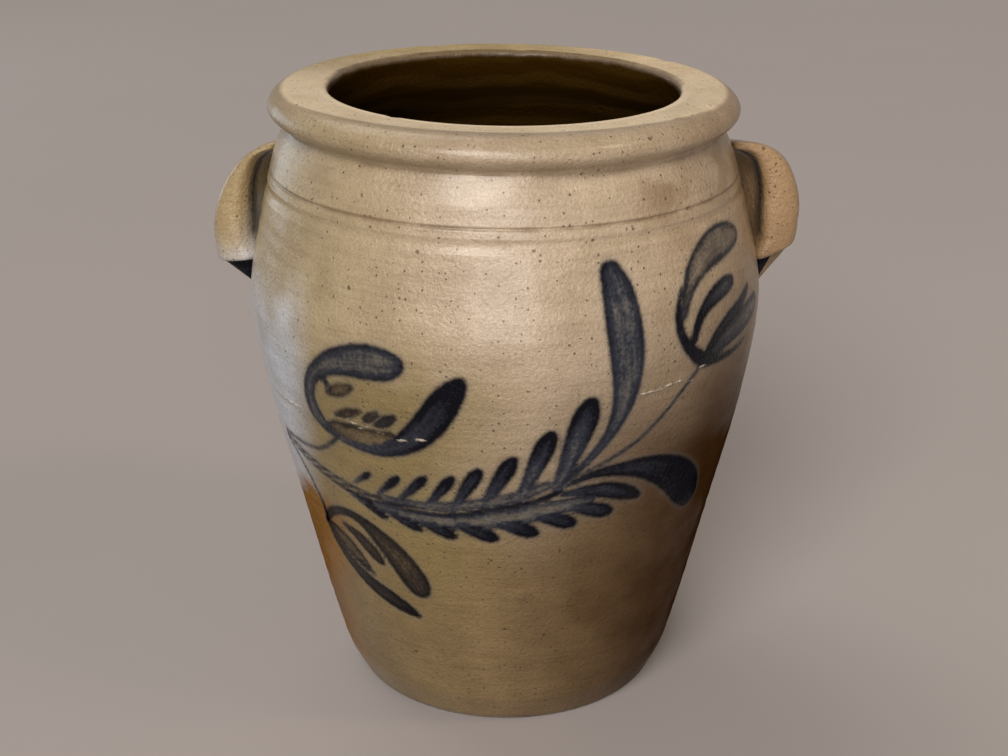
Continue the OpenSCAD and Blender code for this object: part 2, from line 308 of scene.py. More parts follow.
def spun(points, segments, closed=False):
    """Mesh data of a section turned round the Z axis."""
    bm = bmesh.new()
    verts = [bm.verts.new((0, -r, z)) for r, z in points]
    pairs = list(zip(verts, verts[1:])) + ([(verts[-1], verts[0])] if closed else [])
    edges = [bm.edges.new(pair) for pair in pairs]
    bmesh.ops.spin(bm, geom=verts + edges, axis=(0, 0, 1), cent=(0, 0, 0), dvec=(0, 0, 0),
                   angle=2 * math.pi, steps=segments, use_merge=True, use_duplicate=False)
    bmesh.ops.remove_doubles(bm, verts=bm.verts, dist=MERGE_DIST)
    bmesh.ops.recalc_face_normals(bm, faces=bm.faces)
    return bm


def finish_piece(bm, name, material, node):
    """Makes a smooth-shaded piece of a bmesh, hangs it under the root, and hides the node that it stands
    for.
    """
    mesh = bpy.data.meshes.new(name)
    bm.to_mesh(mesh)
    bm.free()
    mesh.shade_smooth()
    mesh.materials.append(material)
    piece = bpy.data.objects.new(name, mesh)
    bpy.context.scene.collection.objects.link(piece)
    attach(piece, "root")
    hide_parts(node)
    return piece


def write_attribute(mesh, name, values):
    """Stores one number for each vertex."""
    layer = mesh.attributes.new(name, "FLOAT", "POINT")
    layer.data.foreach_set("value", np.asarray(values, dtype=np.float32))


# Brushwork. A place on the wall is (degrees round from the front, millimetres above the table), and a
# stroke's points add the half-width of the brush there in millimetres. A stroke starts with its load of
# cobalt at its beginning and at its end, and with how brown it fired, from 0 to 1.
LEFT_TULIP = [
    (0.42, 0.38, 1.0, [(-41, 155.5, 3.2), (-36, 154.8, 5.0), (-30, 154, 5.8), (-25.5, 156, 4.6)]),
    (0.54, 0.62, 0.15, [
        (-40, 150.8, 1.6), (-44, 154.5, 3.2), (-46.8, 161, 4.3), (-47.2, 169, 3.8), (-45.4, 177, 4.0),
        (-41.6, 183.8, 4.9), (-36.5, 188.8, 6.6), (-30, 191.3, 8.2), (-25.5, 191.5, 7.4),
        (-23, 192.3, 5.0)]),
    (0.42, 1.1, 0.1, [
        (-40, 150.6, 1.8), (-35, 149.8, 2.6), (-30, 149.6, 3.2), (-24.8, 152.4, 4.4), (-19.6, 159.4, 6.4),
        (-15.6, 168.2, 7.4), (-12.5, 177.5, 7.0), (-10.1, 184.3, 5.0), (-8.9, 187.8, 2.4)]),
    (0.4, 0.35, 1.0, [(-39.5, 162, 1.4), (-36, 164.5, 2.6), (-32.5, 167, 1.6)]),
    (0.55, 0.5, 0.8, [(-31.5, 163, 1.4), (-29.7, 165.5, 2.6), (-28, 168, 1.6)]),
    (0.65, 0.6, 0.6, [(-28.5, 162, 1.6), (-26.2, 164.8, 3.0), (-24, 167.5, 1.8)]),
    (0.4, 0.35, 1.0, [(-41, 172, 1.6), (-37.5, 174.8, 3.4), (-34, 177.8, 2.0)]),
    (0.7, 0.65, 0.4, [(-43.5, 179.5, 1.2), (-41.2, 177.5, 2.0), (-40.2, 173.5, 1.4)]),
]
FROND_BIG = [
    (0.5, 0.64, 0.0, [
        (11.5, 137, 1.4), (15, 143, 1.8), (18.5, 150, 2.2), (22, 159, 2.9), (24.4, 170, 4.6),
        (25.4, 182, 6.6), (25.4, 195, 8.2), (25, 208, 8.6), (24.2, 222, 7.4), (22.8, 231, 5.0)]),
    (0.6, 1.3, 0.1, [
        (14, 137.6, 1.4), (20, 141.3, 2.4), (26, 141.4, 3.7), (32, 139.8, 5.6), (38, 135.6, 7.6),
        (44, 128.4, 9.2), (49, 119.8, 9.4), (52, 113.5, 7.0)]),
    (0.5, 1.0, 0.0, [
        (13, 132.5, 1.6), (18, 133, 3.2), (23.5, 131.8, 4.4), (28.5, 128.4, 4.2), (32, 125.2, 2.2)]),
]
LOWER_BUD = [
    (0.48, 0.4, 1.0, [(-52, 96, 3.0), (-48, 91.5, 5.0), (-44, 86.5, 4.6), (-40.5, 81, 2.6)]),
    (0.58, 0.68, 1.0, [
        (-54.5, 97, 1.8), (-52.2, 102.4, 2.4), (-48.3, 107, 2.6), (-43.3, 109, 2.6), (-38.6, 107.2, 3.2),
        (-34.2, 101.8, 5.2), (-30.2, 95, 6.6), (-26.9, 87.2, 7.3), (-24.6, 80.5, 6.8), (-23.6, 77, 5.0)]),
    (0.5, 0.7, 1.0, [
        (-46.2, 101.2, 1.5), (-42, 98.3, 3.0), (-38.5, 93.8, 4.0), (-35.8, 89, 3.2), (-34.4, 86.7, 1.6)]),
    (0.45, 0.95, 0.9, [
        (-54, 96, 1.6), (-52.5, 89.5, 2.0), (-48.5, 82, 3.0), (-43.5, 75.5, 3.8), (-38.5, 70.8, 4.4),
        (-33.5, 67.2, 4.6), (-29, 64, 3.6), (-25.4, 61.2, 1.6)]),
    (0.75, 0.7, 0.8, [(-44, 83.6, 1.1), (-41, 81, 1.6), (-38.4, 78.7, 1.1)]),
]
RIGHT_TULIP = [
    (0.44, 0.42, 0.5, [
        (40, 207, 2.0), (42, 216, 3.4), (45, 223.5, 5.6), (49.5, 229, 7.4), (54.5, 231.4, 8.2),
        (59.5, 231.8, 7.2), (64, 231, 4.4)]),
    (0.75, 0.5, 0.3, [
        (47, 185.5, 2.6), (52, 189.5, 4.8), (58, 192.5, 6.0), (65, 194.5, 6.0), (71, 196, 5.0)]),
    (1.1, 0.6, 0.1, [
        (46, 184.5, 3.2), (42.3, 190, 3.2), (39.7, 196.5, 2.7), (38.5, 203.5, 2.4), (38.8, 211, 1.8),
        (40.2, 218, 1.2)]),
    (0.95, 0.6, 0.15, [
        (42.6, 195.5, 2.3), (43.8, 201.5, 2.6), (46.4, 207, 3.1), (50.6, 211, 4.2), (55, 213, 4.3),
        (58, 213.5, 3.0)]),
    (0.95, 0.6, 0.2, [
        (46.5, 186.5, 2.6), (50, 193, 3.2), (54.8, 198, 3.4), (60.5, 201.3, 3.2), (66.4, 206, 2.0)]),
    (0.95, 0.6, 0.2, [(46, 183.5, 2.6), (51, 182.2, 2.2), (57, 181.8, 1.8), (64, 183, 1.3)]),
    (1.2, 1.1, 0.0, [(41.6, 191.6, 2.8), (44.5, 186.6, 3.8), (48.4, 183.4, 2.6)]),
]
STEMS = [
    (0.6, 0.7, 0.1, [
        (-48, 129, 1.0), (-40, 126, 1.2), (-30, 123, 1.4), (-22, 121.3, 1.5), (-16, 121, 1.5),
        (-10, 122.5, 1.6), (-4, 125.5, 1.7), (2, 128, 1.7), (7, 130.2, 1.8), (12.5, 134.5, 1.7)]),
    (0.4, 0.9, 0.2, [(-66, 136, 1.0), (-57, 132.5, 1.0), (-48, 129, 1.1)]),
    (0.35, 0.55, 0.3, [
        (-66, 137, 1.0), (-57, 137.6, 1.0), (-50, 138.8, 1.0), (-45.5, 142.4, 1.1), (-40, 150.6, 1.3)]),
    (0.45, 0.8, 0.2, [(-66, 134.5, 1.0), (-52, 127.5, 1.1), (-42, 123.2, 1.4), (-34, 119.8, 1.6)]),
    (0.5, 0.9, 0.5, [
        (-66, 133.5, 1.0), (-60.5, 126, 1.1), (-56.8, 117, 1.2), (-54.2, 106, 1.3), (-54.5, 97, 1.4)]),
    (0.5, 0.65, 0.3, [
        (15, 141, 1.0), (24, 148.5, 1.0), (30, 155, 1.0),
        (35, 163.5, 1.0), (40, 173.5, 1.0), (45, 183, 1.2)]),
]
# Leaflets along the frond: the places of the base and of the tip, and the half-width
UPPER_LEAFLETS = [
    (-38, 128.5, -32.2, 136.5, 1.7), (-31.5, 125.5, -24.6, 138, 2.2), (-26, 124.5, -17.8, 140.4, 2.5),
    (-19, 123.5, -11.5, 142, 2.8), (-12.5, 124, -5.6, 146.8, 3.4), (-5.5, 126.5, 1.9, 152.8, 3.9),
    (3, 131, 9.8, 164.8, 4.6), (11.5, 136, 18, 178.5, 6.0),
]
LOWER_LEAFLETS = [
    (-40, 121.5, -29.5, 113.5, 2.2), (-32, 120, -20.5, 111, 2.7), (-24, 119, -12, 109.5, 3.2),
    (-15, 119.5, -2, 109.8, 3.6), (-5.5, 121.5, 7.5, 112.5, 3.8), (3.5, 125, 16.5, 116, 3.8),
    (11.5, 128, 25.5, 119.5, 3.9),
]
FROND_WASH = [
    (0.4, 0.42, 0.2, [
        (-38, 121.5, 1.8), (-28, 118.5, 3.4), (-16, 117.6, 4.4), (-4, 120, 5.0), (8, 124.5, 5.0),
        (19, 128, 3.2)]),
    (0.3, 0.36, 0.2, [(-30, 125, 1.6), (-18, 125, 2.6), (-8, 128, 3.0), (2, 132.5, 3.2), (9, 138, 2.6)]),
]
# Pale cracks where salt gathered or pots touched in the kiln, and painted glints of light, as points of
# strokes
KILN_SCARS_AND_PAINTED_GLINTS = [
    [(28.7, 176.8, 0.5), (34, 177.6, 0.9), (39, 178.4, 0.8), (43, 176.8, 0.5)],
    [(-66, 158, 0.6), (-60, 156.6, 0.9), (-52, 157.6, 0.6)],
    # Painted glints of light, in the next four rows
    [(-39, 160.6, 0.3), (-36, 161.4, 0.8), (-33, 159.2, 0.8), (-30.5, 160.4, 0.4)],
    [(-28.7, 159.3, 0.3), (-26.3, 158.8, 0.3)],
    [(-24.5, 156.4, 0.3), (-22.5, 157, 0.7), (-21, 157.6, 0.4)],
    [(-20, 157.6, 0.4), (-18.4, 158.6, 0.7), (-16.4, 158.8, 0.4)],
    [(44.8, 182.2, 0.7), (46.8, 181.4, 0.7)],
]
# Share of a leaflet's half-width along it, and its load of cobalt at its base and at its tip
LEAFLET_FORM = [(0, 0.5), (0.3, 0.72), (0.58, 0.98), (0.8, 1.05), (0.93, 0.7)]
LEAFLET_LOAD = (0.32, 0.95)


def leaflet(base_a, base_h, tip_a, tip_h, half):
    """Stroke of one leaflet: pale and narrow at the vein, and full and dark towards the tip."""
    points = []
    for t, share in LEAFLET_FORM:
        points.append((base_a + (tip_a - base_a) * t, base_h + (tip_h - base_h) * t, half * share))
    return *LEAFLET_LOAD, 0.0, points


def cobalt_strokes():
    """Every stroke of the brushwork, in the order in which it was laid."""
    leaflets = [leaflet(*row) for row in UPPER_LEAFLETS + LOWER_LEAFLETS]
    return FROND_WASH + STEMS + leaflets + FROND_BIG + LEFT_TULIP + LOWER_BUD + RIGHT_TULIP


SPINE_STEPS = 16
EDGE_LIMIT = 8.0
OVERLAP = 0.4
STROKE_OFFSET = 137.0
BRUSH_FIELDS = ("brush_edge", "brush_along", "brush_across", "brush_load", "brush_brown")


def spine(points):
    """Smooth run of a stroke through its points, as rows of degrees, millimetres and half-width."""
    p = np.array(points, dtype=float)
    padded = np.vstack([2 * p[0] - p[1], p, 2 * p[-1] - p[-2]])
    rows = []
    for i in range(1, len(padded) - 2):
        a, b, c, d = padded[i - 1:i + 3]
        for t in np.linspace(0, 1, SPINE_STEPS, endpoint=False):
            rows.append(b + 0.5 * t * (c - a + t * (2 * a - 5 * b + 4 * c - d + t * (3 * (b - c) + d - a))))
    rows.append(p[-1])
    return np.array(rows)


def brush_fields(wall, places, strokes):
    """Paint at each place of the wall, with all lengths in millimetres.

    Returns the depth inside the last stroke laid there, the way along it, the way across it, its load and
    its brownness. Where strokes overlap, the greater depth and load stay."""
    fields = np.zeros((len(BRUSH_FIELDS), len(places)))
    fields[0] = -EDGE_LIMIT
    for number, (first, last, brown, points) in enumerate(strokes):
        run = spine(points)
        turn = np.radians(run[:, 0])
        radius = np.array([wall.outside(h * MM) for h in run[:, 1]]) / MM
        line = np.stack([radius * np.sin(turn), -radius * np.cos(turn), run[:, 1]], axis=1)
        reach = run[:, 2].max() + EDGE_LIMIT
        boxed = (places > line.min(0) - reach) & (places < line.max(0) + reach)
        near = np.nonzero(np.all(boxed, axis=1))[0]
        gap = places[near][:, None, :] - line[None, :, :]
        depth = run[None, :, 2] - np.linalg.norm(gap, axis=2)
        best = depth.argmax(axis=1)
        rows = np.arange(len(near))
        way = np.concatenate([[0], np.cumsum(np.linalg.norm(np.diff(line, axis=0), axis=1))])
        outward = np.stack([np.sin(turn), -np.cos(turn), np.zeros(len(turn))], axis=1)
        sideways = np.cross(outward, np.gradient(line, axis=0))
        sideways /= np.linalg.norm(sideways, axis=1)[:, None]
        side = (gap[rows, best] * sideways[best]).sum(axis=1)
        load = first + (last - first) * way[best] / way[-1]
        along = way[best] + number * STROKE_OFFSET
        found = np.stack([depth[rows, best], along, side, load, np.full(len(near), brown)])
        under = fields[:, near]
        wins = found[0] > np.minimum(under[0], OVERLAP)
        wet = under[0] > OVERLAP
        found[0] = np.where(wet, np.maximum(found[0], under[0]), found[0])
        found[3] = np.where(wet, np.maximum(found[3], under[3]), found[3])
        fields[:, near[wins]] = found[:, wins]
    return fields


# Chips in the rim: degrees round from the front, then radius, height, size and depth in millimetres
CHIPS = [
    (62, 99, 286, 7, 0.6), (71, 100, 286, 5, 0.5), (52, 99, 286, 5, 0.5), (175, 81, 286, 5, 0.6),
    (-160, 100, 286, 6, 0.6), (128, 99.5, 286, 5, 0.6), (-35, 81, 286, 4, 0.4),
]
# Blisters under the glaze: degrees round from the front, then height, size and rise in millimetres
BLISTERS = [
    (3.5, 78.5, 4.8, 1.1), (8, 82, 2.8, 0.7), (-31, 52, 3, 0.3), (24, 66, 3, 0.3), (-12, 40, 3.5, 0.3)]
# Noise round and up the wall, per unit of its direction and per metre
SWELL_SCALE = (1.6, 1.6, 9)
RIDGE_SCALE = (0.7, 0.7, 55)
FINGER_PITCH = 8.5 * MM
FOOT_FADE = 20 * MM
RIM_FADE = 12 * MM
CHIP_GRAIN = 2.2 * MM
CHIP_INWARD = 0.6
LIP_BAND = 5 * MM


def on_wall(degrees, radius, height):
    """Point at a turn from the front, a radius and a height, in metres."""
    a = math.radians(degrees)
    return np.array([radius * math.sin(a), -radius * math.cos(a), height])


def uneven(wall, places, outer):
    """Places of the body's points, moved as an uneven wheel and hand would move them."""
    s = wall.s
    height = places[:, 2]
    radius = np.maximum(np.hypot(places[:, 0], places[:, 1]), MM)
    out = np.stack([places[:, 0] / radius, places[:, 1] / radius, np.zeros(len(places))], axis=1)
    turn = np.arctan2(out[:, 0], -out[:, 1])
    course = np.column_stack([out[:, :2], height])
    swell = np.array([noise.noise(row) for row in course * SWELL_SCALE])
    ridge = np.array([noise.noise(row) for row in course * RIDGE_SCALE])
    finger = np.sin(2 * math.pi * height / FINGER_PITCH + turn + 2 * swell)
    fade = smooth(0, FOOT_FADE, height) * (1 - 0.5 * smooth(s.height - RIM_FADE, s.height, height))
    push = (s.wobble * swell + s.rings * finger * (0.5 + ridge)) * fade * outer
    for degrees, level, size, rise in BLISTERS:
        far = np.linalg.norm(places - on_wall(degrees, wall.outside(level * MM), level * MM), axis=1)
        push += rise * MM * (1 - smooth(0, size * MM, far)) * outer
    moved = places + out * push[:, None]
    for degrees, chip_r, level, size, deep in CHIPS:
        far = np.linalg.norm(places - on_wall(degrees, chip_r * MM, level * MM), axis=1) / (size * MM)
        for i in np.nonzero(far < 1)[0]:
            ragged = 0.7 + 0.6 * noise.noise(places[i] / CHIP_GRAIN)
            bite = deep * MM * (1 - far[i] ** 2) * ragged
            inward = -1 if chip_r * MM > s.mouth_r + LIP_BAND else 1
            moved[i] += out[i] * inward * CHIP_INWARD * bite - np.array([0, 0, bite])
    moved[:, 0] += s.lean * smooth(s.flank_h, s.height, height)
    moved[:, 2] += s.tilt * moved[:, 0] * smooth(s.belly_h, s.height, height)
    return moved


# Nodes of the materials


def add(tree, kind, inputs, **settings):
    """Adds a node, sets it and joins or sets its inputs, and returns it."""
    made = tree.nodes.new(kind)
    for key, value in settings.items():
        setattr(made, key, value)
    for key, value in inputs.items():
        if isinstance(value, bpy.types.NodeSocket):
            tree.links.new(value, made.inputs[key])
        else:
            made.inputs[key].default_value = value
    return made


def rgba(value):
    """Colour with its alpha."""
    return (*value, 1.0)


def blank(name):
    """Material without nodes, and its tree."""
    material = bpy.data.materials.new(name)
    material.use_nodes = True
    material.node_tree.nodes.clear()
    return material, material.node_tree


def finish_shader(tree, inputs):
    """Adds the principled shader with its inputs, and the material's output."""
    shader = add(tree, "ShaderNodeBsdfPrincipled", inputs)
    add(tree, "ShaderNodeOutputMaterial", {"Surface": shader.outputs["BSDF"]})


def object_place(tree):
    """Place on the piece, in the shared frame."""
    return add(tree, "ShaderNodeTexCoord", {}).outputs["Object"]


def noise_of(tree, place, scale, detail=3.0, rough=0.55):
    """Value of a noise at a place."""
    made = add(tree, "ShaderNodeTexNoise", {
        "Vector": place, "Scale": scale, "Detail": detail, "Roughness": rough})
    return made.outputs["Fac"]


def spread(tree, value, low, high, to_low=0.0, to_high=1.0, kind="SMOOTHSTEP"):
    """Value carried from one range to another."""
    made = add(tree, "ShaderNodeMapRange", {
        "Value": value, "From Min": low, "From Max": high, "To Min": to_low, "To Max": to_high},
        interpolation_type=kind)
    return made.outputs["Result"]


def calc(tree, operation, a, b=0.0, clamp=False):
    """Result of a sum on two values."""
    made = add(tree, "ShaderNodeMath", {0: a, 1: b}, operation=operation, use_clamp=clamp)
    return made.outputs[0]


def times(tree, value, *others):
    """Product of several values."""
    for other in others:
        value = calc(tree, "MULTIPLY", value, other)
    return value


def greatest(tree, value, *others):
    """Greatest of several values."""
    for other in others:
        value = calc(tree, "MAXIMUM", value, other)
    return value


def blend(tree, share, a, b, kind="MIX"):
    """Mix of two colours, each a socket or a constant."""
    a, b = (c if isinstance(c, bpy.types.NodeSocket) else rgba(c) for c in (a, b))
    return add(tree, "ShaderNodeMix", {0: share, 6: a, 7: b}, data_type="RGBA", blend_type=kind).outputs[2]


def attribute(tree, name):
    """Number stored on the mesh."""
    return add(tree, "ShaderNodeAttribute", {}, attribute_name=name).outputs["Fac"]


def swing(tree, value, size):
    """Noise value moved to lie about zero, at a size."""
    return times(tree, calc(tree, "SUBTRACT", value, 0.5), size)


def speck_nodes(tree, place, scale, common, size):
    """Scattered dots: fewer cells have one as common rises, and size is a part of a cell."""
    cells = add(tree, "ShaderNodeTexVoronoi", {"Vector": place, "Scale": scale, "Randomness": 1.0})
    chance = add(tree, "ShaderNodeSeparateColor", {"Color": cells.outputs["Color"]}).outputs[0]
    reach = spread(tree, chance, common, 1.0, size * 0.4, size, "LINEAR")
    dot = spread(tree, calc(tree, "SUBTRACT", cells.outputs["Distance"], reach), 0.06, -0.06)
    return times(tree, dot, spread(tree, chance, common, common + 0.005))


THROWN_STREAK = (22, 22, 520)
# Heights in metres between which the lower clay turns into the upper clay
CLAY_TURN = (0.085, 0.195)
# Patches of the fired clay, some of them painted shade, highlight or reflection, in the order in which they
# lie
# over each other: the colour, the kind of mix, its strength, and the ranges over which it comes in. A range
# is a field, where it starts and where it is full, and sometimes its least and its greatest share. A field
# alone counts as it is.
CLAY_PATCHES = [
    ("cool", "MULTIPLY", 1.0, [("across", -0.01, -0.1)]),
    # Painted shade, with a warmer tint, on the right side
    ("warm_tint_and_painted_shade", "MULTIPLY", 1.0, [("across", 0.05, 0.115)]),
    ("olive", "MIX", 1.0, [
        ("across", 0.02, -0.045), ("height", 0.206, 0.165), ("height", 0.045, 0.1, 0.2, 0.9)]),
    ("toast", "MIX", 0.8, [("across", -0.06, -0.088), ("height", 0.115, 0.098)]),
    # Toasted flush and painted shade on the lower right
    ("deep_toast_and_painted_shade", "MIX", 0.95, [("across", -0.02, 0.085), ("height", 0.24, 0.13)]),
    ("shade", "MULTIPLY", 0.45, [("z", 0.266, 0.273)]),
    ("rim_back", "MIX", 1.0, [("flat",), ("far",)]),
    # Wear and painted highlight on the front and the right of the rim's flat
    ("wear_and_painted_highlight", "MIX", 1.0, [("flat",), ("near",)]),
    # Painted reflection of a bluish window along the left edge
    ("painted_window_sheen", "MIX", 0.85, [("x", -0.08, -0.1), ("height", 0.096, 0.112), ("height", 0.23, 0.19)]),
    ("shade", "MULTIPLY", 0.36, [("drawn", 0.42, 0.75)]),
    ("stain", "MIX", 0.75, [
        ("across", 0.045, 0.075), ("z", 0.235, 0.262), ("z", 0.274, 0.264), ("blotch", 0.46, 0.6)]),
    ("shade", "MULTIPLY", 0.5, [("mottle", 0.35, 0.7)]),
    ("shade", "MULTIPLY", 0.5, [("grain", 0.38, 0.68)]),
]
# Patches that came out of the kiln without gloss
DRY_PATCHES = ("toast", "deep_toast_and_painted_shade", "rim_back")
# Iron specks: cells per metre, how uncommon a speck is, and its size as a part of a cell
SPECKS = [(420, 0.66, 0.23), (170, 0.95, 0.17)]
SPECK_WARP = (0.0012, 0.0012, 0.0012)
SPECK_SHARE = 0.75
SPECK_PIT = 0.4


def clay_fields(tree, place):
    """Fields that the patches of the clay follow, by name."""
    axes = add(tree, "ShaderNodeSeparateXYZ", {"Vector": place}).outputs
    patch = noise_of(tree, place, 14, 3)
    across = calc(tree, "ADD", axes["X"], swing(tree, patch, 0.05))
    far = spread(tree, axes["Y"], -0.03, 0.08)
    front, right = spread(tree, far, 0.0, 1.0, 0.9, 0.0), spread(tree, across, 0.02, 0.08, 0.0, 0.9)
    drawn = add(tree, "ShaderNodeVectorMath", {0: place, 1: THROWN_STREAK}, operation="MULTIPLY").outputs[0]
    return {
        "x": axes["X"], "z": axes["Z"], "across": across, "far": far, "near": greatest(tree, front, right),
        "height": calc(tree, "ADD", axes["Z"], swing(tree, patch, 0.09)),
        "flat": attribute(tree, "rim_flat"),
        "drawn": noise_of(tree, drawn, 1.0, 3, 0.6),
        "blotch": noise_of(tree, place, 38, 3),
        "mottle": noise_of(tree, place, 55, 5, 0.6),
        "grain": noise_of(tree, place, 1100, 2, 0.6),
    }


def clay_nodes(tree, colours, high, low, place):
    """Salt-glazed clay: returns the sockets of its colour, roughness, dryness and relief."""
    fields = clay_fields(tree, place)
    tone = blend(tree, spread(tree, fields["height"], *CLAY_TURN), low, high)
    shares = {}
    for name, kind, strength, ranges in CLAY_PATCHES:
        parts = [spread(tree, fields[key], *limits) if limits else fields[key] for key, *limits in ranges]
        shares[name] = times(tree, *parts)
        tone = blend(tree, times(tree, shares[name], strength), tone, getattr(colours, name), kind)
    warp = add(tree, "ShaderNodeTexNoise", {"Vector": place, "Scale": 900.0}).outputs["Color"]
    bend = {0: warp, 1: SPECK_WARP, 2: place}
    warped = add(tree, "ShaderNodeVectorMath", bend, operation="MULTIPLY_ADD").outputs[0]
    dots = greatest(tree, *(speck_nodes(tree, warped, *row) for row in SPECKS))
    tone = blend(tree, times(tree, dots, SPECK_SHARE), tone, colours.speck)
    rough = spread(tree, fields["mottle"], 0.3, 0.7, 0.26, 0.4, "LINEAR")
    peel = noise_of(tree, place, 560, 3, 0.6)
    relief = calc(tree, "SUBTRACT", peel, times(tree, dots, SPECK_PIT))
    return tone, rough, greatest(tree, *(shares[name] for name in DRY_PATCHES)), relief


# Cobalt, with the lengths from a stroke's edge in millimetres: how ragged and how soft the edge is, the pale
# halo round it, the paint that pools inside it, and the marks of the bristles across and along the stroke
RAGGED = 1.4
EDGE_SOFT = 1.1
HALO = (-2.8, 0.4, 0.0, 0.3)
POOL = (0.4, 5.0, 0.2, -0.1)
BRISTLES = (0.6, 0.04)
BRISTLE_SWING = 0.4
# Uneven paint: noise scale, detail and swing
PAINT_NOISES = [(80, 3, 0.45), (600, 2, 0.4)]
# Amounts of paint at which it is a wash, at its usual strength and pooled
PAINT_STOPS = (0.15, 0.62, 0.95)
PAINT_COVER = (0.0, 0.6, 0.35, 1.0)


def cobalt_nodes(tree, colours, tone, place):
    """Lays the stored brushwork over a tone: returns the new tone and how much is covered."""
    edge, along, across, load, brown = (attribute(tree, name) for name in BRUSH_FIELDS)
    ragged = calc(tree, "ADD", edge, swing(tree, noise_of(tree, place, 500, 3), RAGGED))
    cover = spread(tree, ragged, -EDGE_SOFT, EDGE_SOFT)
    tone = blend(tree, spread(tree, edge, *HALO), tone, colours.cobalt_wash)
    bristle = add(tree, "ShaderNodeCombineXYZ", {
        0: times(tree, across, BRISTLES[0]), 1: times(tree, along, BRISTLES[1]), 2: 0.0}).outputs[0]
    amount = calc(tree, "ADD", load, swing(tree, noise_of(tree, bristle, 1.0, 4, 0.65), BRISTLE_SWING))
    for scale, detail, size in PAINT_NOISES:
        amount = calc(tree, "ADD", amount, swing(tree, noise_of(tree, place, scale, detail), size))
    amount = calc(tree, "ADD", amount, spread(tree, edge, *POOL), clamp=True)
    ramp = add(tree, "ShaderNodeValToRGB", {"Fac": amount})
    stops = ramp.color_ramp.elements
    stops[0].position, stops[0].color = PAINT_STOPS[0], rgba(colours.cobalt_wash)
    stops[1].position, stops[1].color = PAINT_STOPS[2], rgba(colours.cobalt_deep)
    stops.new(PAINT_STOPS[1]).color = rgba(colours.cobalt)
    paint = blend(tree, brown, ramp.outputs["Color"], colours.cobalt_brown, "MULTIPLY")
    strength = times(tree, cover, spread(tree, amount, *PAINT_COVER))
    return blend(tree, strength, tone, paint), strength


def slip_tone(tree, colours, place):
    """Colour of the brown slip: rings left by the fingers, paler where it ran thin."""
    wave = add(tree, "ShaderNodeTexWave", {"Vector": place, "Scale": 26.0, "Distortion": 3.0, "Detail": 2.0},
               wave_type="BANDS", bands_direction="Z")
    ring = spread(tree, wave.outputs["Fac"], 0.2, 0.9, 0.0, 0.7)
    return blend(tree, times(tree, ring, noise_of(tree, place, 22, 4)), colours.slip_dark, colours.slip_pale)


# Slip inside the lip, by the depth below the lip's edge in millimetres: where the lip is rubbed bare and
# carries a painted highlight, where the slip is thin and where it is whole, and how much higher it comes at
# the back
LIP_BARE_AND_HIGHLIGHT = ((-3.0, -1.0), (2.2, 0.8))
SLIP_THIN = (0.8, 3.0)
SLIP_WHOLE = (3.0, 6.0)
SLIP_RAGGED = 3.0
SLIP_BACK = (-0.03, 0.04, 0.0, 2.6)
SLIP_ROUGH = 0.38
SCAR_AND_GLINT_RAGGED = 2.6
SCAR_AND_GLINT_EDGE = (-0.2, 0.6)
PAINT_DULL = 0.75
PAINT_GLOSS = 0.08
# Specular level and coat weight of glaze, and how they fall to none on dull places
GLAZE_SPECULAR = (0.0, 1.0, 0.45, 0.0, "LINEAR")
GLAZE_COAT = (0.0, 0.88, 0.35, 0.0, "LINEAR")
COAT_ROUGH = 0.17
PEEL = {"Strength": 0.85, "Distance": 0.8 * MM}


def pot_nodes(tree, colours, place, tone, rough, dull, relief):
    """Adds the darker brown in the grooves, the kiln scars and painted glints, the lip rubbed bare with a
    painted highlight, and the slip that comes up to it.
    """
    depth = add(tree, "ShaderNodeSeparateXYZ", {"Vector": place}).outputs["Y"]
    patchy = spread(tree, noise_of(tree, place, 60, 3), 0.3, 0.6)
    groove = times(tree, attribute(tree, "groove"), patchy, 0.75)
    ragged = swing(tree, noise_of(tree, place, 350, 4), SCAR_AND_GLINT_RAGGED)
    # Pale kiln scars and painted glints
    scar_and_painted_glint = spread(tree, calc(tree, "ADD", attribute(tree, "scar_and_glint_edge"), ragged), *SCAR_AND_GLINT_EDGE)
    reach = calc(tree, "ADD", attribute(tree, "slip_reach"), spread(tree, depth, *SLIP_BACK))
    reach = calc(tree, "ADD", reach, swing(tree, noise_of(tree, place, 90, 3), SLIP_RAGGED))
    front = spread(tree, depth, 0.0, -0.05)
    # Lip rubbed bare at the front, with a painted highlight
    bare = times(tree, *(spread(tree, reach, *limits) for limits in LIP_BARE_AND_HIGHLIGHT), front)
    slip = spread(tree, reach, *SLIP_WHOLE)
    tone = blend(tree, groove, tone, colours.groove)
    tone = blend(tree, times(tree, scar_and_painted_glint, 0.7), tone, colours.scar_and_painted_glint)
    tone = blend(tree, times(tree, spread(tree, reach, *SLIP_THIN), 0.9), tone, colours.slip_thin)
    tone = blend(tree, bare, tone, colours.wear_and_painted_highlight)
    tone = blend(tree, slip, tone, slip_tone(tree, colours, place))
    rough = spread(tree, slip, 0.0, 1.0, rough, SLIP_ROUGH, "LINEAR")
    return tone, rough, greatest(tree, dull, slip), calc(tree, "ADD", relief, scar_and_painted_glint)


